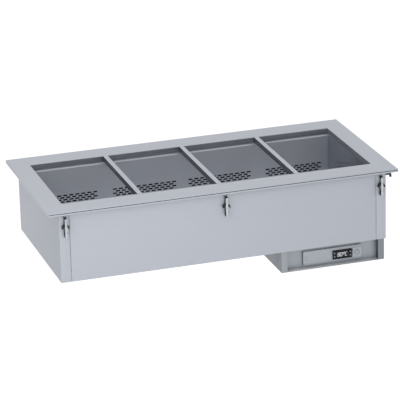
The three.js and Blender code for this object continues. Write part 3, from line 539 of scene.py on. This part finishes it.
for name in ("rear_air_duct", "front_air_duct"):
    finishNode(name, "duct_steel", pickFinish=pickDuctFinish, reshape=openSlots)
for name, finish in paintPlan.items():
    paintNode(name, finish)
print("finished the nodes, and painted", len(paintPlan), "as they are")


def startTree(name, sizes):
    tree = bpy.data.node_groups.new(name, "GeometryNodeTree")
    tree.interface.new_socket("Geometry", in_out="INPUT", socket_type="NodeSocketGeometry")
    for label, kind in sizes.items():
        tree.interface.new_socket(label, in_out="INPUT", socket_type="NodeSocket" + kind)
    tree.interface.new_socket("Geometry", in_out="OUTPUT", socket_type="NodeSocketGeometry")
    return tree, addNode(tree, "NodeGroupInput").outputs


def endTree(tree, geometry, finish):
    real = addNode(tree, "GeometryNodeRealizeInstances", {}, {"Geometry": geometry})
    painted = addNode(tree, "GeometryNodeSetMaterial", {}, {
        "Geometry": real.outputs["Geometry"], "Material": finish})
    addNode(tree, "NodeGroupOutput", {}, {"Geometry": painted.outputs["Geometry"]})
    return tree


# A shape at each point, turned by the point's own "turn" value
def atPoints(tree, points, shape):
    turn = addNode(tree, "GeometryNodeInputNamedAttribute", {"data_type": "FLOAT_VECTOR"}, {
        "Name": "turn"})
    rotation = addNode(tree, "FunctionNodeEulerToRotation", {}, {
        "Euler": turn.outputs["Attribute"]})
    instances = addNode(tree, "GeometryNodeInstanceOnPoints", {}, {
        "Points": points, "Instance": shape, "Rotation": rotation.outputs["Rotation"]})
    return instances.outputs["Instances"]


# Blind rivets: a low coned head, flat on top where the stem broke off
def rivetTree():
    tree, sizes = startTree("rivets", {
        "Head radius": "Float", "Head height": "Float", "Stem radius": "Float",
        "Finish": "Material"})
    head = addNode(tree, "GeometryNodeMeshCone", {}, {
        "Vertices": 16, "Radius Top": sizes["Stem radius"], "Radius Bottom": sizes["Head radius"],
        "Depth": sizes["Head height"]})
    return endTree(tree, atPoints(tree, sizes["Geometry"], head.outputs["Mesh"]), sizes["Finish"])


# The bars of a lit display
def segmentTree():
    tree, sizes = startTree("displaySegments", {"Segment size": "Vector", "Finish": "Material"})
    bar = addNode(tree, "GeometryNodeMeshCube", {}, {"Size": sizes["Segment size"]})
    return endTree(tree, atPoints(tree, sizes["Geometry"], bar.outputs["Mesh"]), sizes["Finish"])


# A screw thread: a three-sided ridge that climbs round the shank
def threadTree():
    tree, sizes = startTree("screwThread", {
        "Turns": "Float", "Radius": "Float", "Height": "Float", "Ridge": "Float", "Foot": "Vector",
        "Finish": "Material"})
    path = addNode(tree, "GeometryNodeCurveSpiral", {}, {
        "Resolution": 12, "Rotations": sizes["Turns"], "Start Radius": sizes["Radius"],
        "End Radius": sizes["Radius"], "Height": sizes["Height"]})
    ridge = addNode(tree, "GeometryNodeCurvePrimitiveCircle", {}, {
        "Resolution": 3, "Radius": sizes["Ridge"]})
    swept = addNode(tree, "GeometryNodeCurveToMesh", {}, {
        "Curve": path.outputs["Curve"], "Profile Curve": ridge.outputs["Curve"],
        "Fill Caps": True})
    placed = addNode(tree, "GeometryNodeTransform", {}, {
        "Geometry": swept.outputs["Mesh"], "Translation": sizes["Foot"]})
    whole = addNode(tree, "GeometryNodeJoinGeometry")
    tree.links.new(sizes["Geometry"], whole.inputs["Geometry"])
    tree.links.new(placed.outputs["Geometry"], whole.inputs["Geometry"])
    return endTree(tree, whole.outputs["Geometry"], sizes["Finish"])


# The tree's result as the piece's own plain mesh
def runTree(piece, tree, values):
    modifier = piece.modifiers.new(tree.name, "NODES")
    modifier.node_group = tree
    for item in tree.interface.items_tree:
        if item.in_out == "INPUT" and item.name in values:
            modifier[item.identifier] = values[item.name]
    evaluated = piece.evaluated_get(bpy.context.evaluated_depsgraph_get())
    mesh = bpy.data.meshes.new_from_object(evaluated)
    piece.modifiers.remove(modifier)
    piece.data = mesh


# A piece with one vertex for each (place, turn), for a tree to build on
def pointPiece(name, places):
    mesh = bpy.data.meshes.new(name)
    mesh.from_pydata([place for place, turn in places], [], [])
    turns = mesh.attributes.new("turn", "FLOAT_VECTOR", "POINT")
    for row, (place, turn) in zip(turns.data, places):
        row.vector = turn
    return addObject(name, mesh)


def facing(direction):
    return direction.to_track_quat("Z", "Y").to_euler()


rivets = {
    "headRadius": 2.5 * mm, "headHeight": 1.0 * mm, "stemRadius": 1.1 * mm,
    # on a clamp's plate
    "plateOut": 1.5 * mm, "across": 8.4 * mm, "fromTop": 5.0 * mm, "fromFoot": 6.0 * mm,
    # along the casing's lower folds
    "foldIn": 7.5 * mm, "pitch": 150.0 * mm, "lastAt": 600.0 * mm,
    # from the edges of the control box's rear
    "boxIn": 18.0 * mm,
}


def clampRivets(name):
    low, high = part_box(name + "_bracket")
    out, side = clampWays(name)
    middle = (low + high) / 2
    surface = min(out.dot(low), out.dot(high)) + rivets["plateOut"]
    for across in (-rivets["across"], rivets["across"]):
        for z in (high.z - rivets["fromTop"], low.z + rivets["fromFoot"]):
            place = out * surface + side * (side.dot(middle) + across)
            yield Vector((place.x, place.y, z)), facing(out)


# The control box hangs under one end of the front fold, and no rivets lie beneath it
def foldRivets(panel, inward):
    low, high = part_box(panel)
    boxLow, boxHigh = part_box("control_box_shell")
    y = low.y + rivets["foldIn"] if inward > 0 else high.y - rivets["foldIn"]
    count = round(rivets["lastAt"] / rivets["pitch"])
    for i in range(-count, count + 1):
        x = i * rivets["pitch"]
        if not (boxLow.x < x < boxHigh.x and boxLow.y < y < boxHigh.y):
            yield Vector((x, y, low.z)), facing(-upward)


def boxRivets():
    low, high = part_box("control_box_shell")
    for x in (low.x + rivets["boxIn"], high.x - rivets["boxIn"]):
        for z in (low.z + rivets["boxIn"], high.z - rivets["boxIn"]):
            yield Vector((x, high.y, z)), facing(Vector((0, 1, 0)))


def addRivets():
    places = [row for name in clampNames for row in clampRivets(name)]
    places += [*foldRivets("front_panel", 1), *foldRivets("rear_panel", -1), *boxRivets()]
    piece = pointPiece("casingRivets", places)
    runTree(piece, rivetTree(), {
        "Head radius": rivets["headRadius"], "Head height": rivets["headHeight"],
        "Stem radius": rivets["stemRadius"], "Finish": finishes["zinc_steel"]})
    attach(piece, "well")
    print("rivets", len(places))


# M4 threads: the shank of each clamp screw is drawn in to the thread's root, and the ridge added
thread = {
    "pitch": 0.7 * mm, "shank": 2.0 * mm, "core": 1.55 * mm, "ridge": 0.42 * mm,
    "crest": 1.98 * mm, "collar": 2.6 * mm, "end": 0.5 * mm, "slack": 0.1 * mm,
}


def addThreads():
    tree = threadTree()
    for name in clampNames:
        source = name + "_screw"
        low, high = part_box(source)
        axis = (low + high) / 2
        mesh = nodes[source].data.copy()
        work = openMesh(mesh)
        radial = {v: Vector((v.co.x - axis.x, v.co.y - axis.y, 0)) for v in work.verts}
        foot = max(v.co.z for v, out in radial.items() if out.length > thread["collar"])
        start = foot + thread["end"]
        for vertex, out in radial.items():
            onShank = abs(out.length - thread["shank"]) < thread["slack"]
            if onShank and vertex.co.z > foot - thread["end"]:
                vertex.co -= out * (1 - thread["core"] / thread["shank"])
        work.to_mesh(mesh)
        work.free()
        mesh.materials.clear()
        piece = addObject(source + "_threaded", mesh)
        height = high.z - thread["end"] - start
        runTree(piece, tree, {
            "Turns": height / thread["pitch"], "Radius": thread["crest"] - thread["ridge"],
            "Height": height, "Ridge": thread["ridge"], "Foot": (axis.x, axis.y, start),
            "Finish": finishes["zinc_steel"]})
        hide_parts(source)
        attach(piece, bodyOf[source])
    print("threads", len(clampNames))


# The set temperature on the display: seven bars to a figure, leaning as on a real display
digits = {
    "height": 15.0 * mm, "width": 8.0 * mm, "bar": 1.7 * mm, "pitch": 11.0 * mm,
    "lean": 0.12, "proud": 0.06 * mm,
    "clear": 0.9,  # of a bar's thickness, left out of its length so the corners stay apart
    "shown": ["abcdefg", "abcdef", "abfg", "adef"],
}


def addDigits():
    low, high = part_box("controller_window")
    middle = (low + high) / 2
    half = digits["width"] / 2
    quarter = digits["height"] / 4
    bars = {
        "a": (0, 2 * quarter, False), "b": (half, quarter, True), "c": (half, -quarter, True),
        "d": (0, -2 * quarter, False), "e": (-half, -quarter, True), "f": (-half, quarter, True),
        "g": (0, 0, False),
    }
    places = []
    for i, shown in enumerate(digits["shown"]):
        centre = middle.x + (i - (len(digits["shown"]) - 1) / 2) * digits["pitch"]
        for letter in shown:
            x, z, upright = bars[letter]
            turn = math.pi / 2 - digits["lean"] if upright else 0.0
            place = Vector((centre + x + z * digits["lean"], low.y, middle.z + z))
            places.append((place, (0.0, -turn, 0.0)))
    length = digits["width"] - digits["bar"] * digits["clear"]
    piece = pointPiece("displayDigits", places)
    runTree(piece, segmentTree(), {
        "Segment size": (length, 2 * digits["proud"], digits["bar"]), "Finish": finishes["lit"]})
    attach(piece, "well")
    print("display bars", len(places))


addRivets()
addThreads()
addDigits()


studio = {
    "floorHeight": -1.3, "floorSize": 30.0, "floorColour": 0.8, "floorGlow": 0.55,
    "roomLight": 0.62, "roomSeen": 1.0,  # on the sheet, and as the camera and mirrors see it
    "focalPixels": 2534.4, "imagePixels": 400, "sensor": 36.0, "farthest": 100.0,
    "azimuth": 17.250, "elevation": 19.593, "roll": -1.551,
    # the flange's centre, in the camera's axes
    "objectPlace": (-1.06 * mm, 147.04 * mm, 10437.07 * mm),
}
lamps = {
    "keyLamp": {
        "place": (-1.5, -2.2, 1.2), "aim": (-0.25, 0, -0.1), "size": (3.4, 2.4), "watts": 46},
    "topLamp": {
        "place": (-0.4, -0.4, 2.6), "aim": (0, 0, -0.1), "size": (2.4, 1.4), "watts": 4},
}


# White wherever the camera or a mirror sees it, and a pale floor for every other ray
def addFloor():
    half = studio["floorSize"] / 2
    z = studio["floorHeight"]
    mesh = bpy.data.meshes.new("floor")
    corners = [(-half, -half, z), (half, -half, z), (half, half, z), (-half, half, z)]
    mesh.from_pydata(corners, [], [(0, 1, 2, 3)])
    floor = addObject("floor", mesh)
    material, tree, shader = startMaterial("paleFloor", {
        "Base Color": grey(studio["floorColour"]), "Roughness": 0.9})
    rays = addNode(tree, "ShaderNodeLightPath").outputs
    seen = addMath(tree, "MAXIMUM", rays["Is Camera Ray"], rays["Is Glossy Ray"])
    glow = addNode(tree, "ShaderNodeEmission", {}, {
        "Color": grey(1.0), "Strength": studio["floorGlow"]})
    lit = addNode(tree, "ShaderNodeAddShader", {}, {
        0: shader.outputs["BSDF"], 1: glow.outputs["Emission"]})
    mix = addNode(tree, "ShaderNodeMixShader", {}, {
        0: seen, 1: shader.outputs["BSDF"], 2: lit.outputs[0]})
    tree.links.new(mix.outputs[0], tree.nodes["Material Output"].inputs["Surface"])
    mesh.materials.append(material)


def addWorld():
    world = bpy.data.worlds.new("softStudio")
    bpy.context.scene.world = world
    world.use_nodes = True
    tree = world.node_tree
    background = tree.nodes["Background"]
    rays = addNode(tree, "ShaderNodeLightPath").outputs
    seen = addMath(tree, "MAXIMUM", rays["Is Glossy Ray"], addMath(
        tree, "MAXIMUM", rays["Is Camera Ray"], rays["Is Transmission Ray"]))
    strength = addNode(tree, "ShaderNodeMapRange", {}, {
        "Value": seen, "To Min": studio["roomLight"], "To Max": studio["roomSeen"]})
    background.inputs["Color"].default_value = grey(1.0)
    tree.links.new(strength.outputs["Result"], background.inputs["Strength"])


# The lamps aren't mirrored in the sheet, which shows the white room alone
def addLamp(name, place, aim, size, watts):
    light = bpy.data.lights.new(name, "AREA")
    light.shape = "RECTANGLE"
    light.size, light.size_y = size
    light.energy = watts
    lamp = addObject(name, light)
    lamp.location = place
    lamp.visible_glossy = False
    lamp.rotation_euler = (Vector(aim) - Vector(place)).to_track_quat("-Z", "Y").to_euler()


# The photograph's camera, solved from the object's corners in it
def addCamera():
    azimuth, elevation, roll = (math.radians(studio[k]) for k in ("azimuth", "elevation", "roll"))
    forward = Vector((math.sin(azimuth) * math.cos(elevation),
                      math.cos(azimuth) * math.cos(elevation), -math.sin(elevation)))
    right = Vector((math.cos(azimuth), -math.sin(azimuth), 0))
    up = right.cross(forward)
    turnedRight = right * math.cos(roll) + up * math.sin(roll)
    turnedUp = up * math.cos(roll) - right * math.sin(roll)
    x, y, z = studio["objectPlace"]
    place = -(turnedRight * x + turnedUp * y + forward * z) + Vector((0, 0, flangeTop))
    camera = bpy.data.cameras.new("camera")
    camera.sensor_width = studio["sensor"]
    camera.lens = studio["focalPixels"] / studio["imagePixels"] * studio["sensor"]
    camera.clip_end = studio["farthest"]
    holder = addObject("camera", camera)
    turn = Matrix((turnedRight, turnedUp, -forward)).transposed()
    holder.matrix_world = Matrix.Translation(place) @ turn.to_4x4()
    bpy.context.scene.camera = holder


addFloor()
addWorld()
for name, lamp in lamps.items():
    addLamp(name, **lamp)
addCamera()
bpy.context.scene.view_settings.view_transform = "Standard"
print("studio ready")
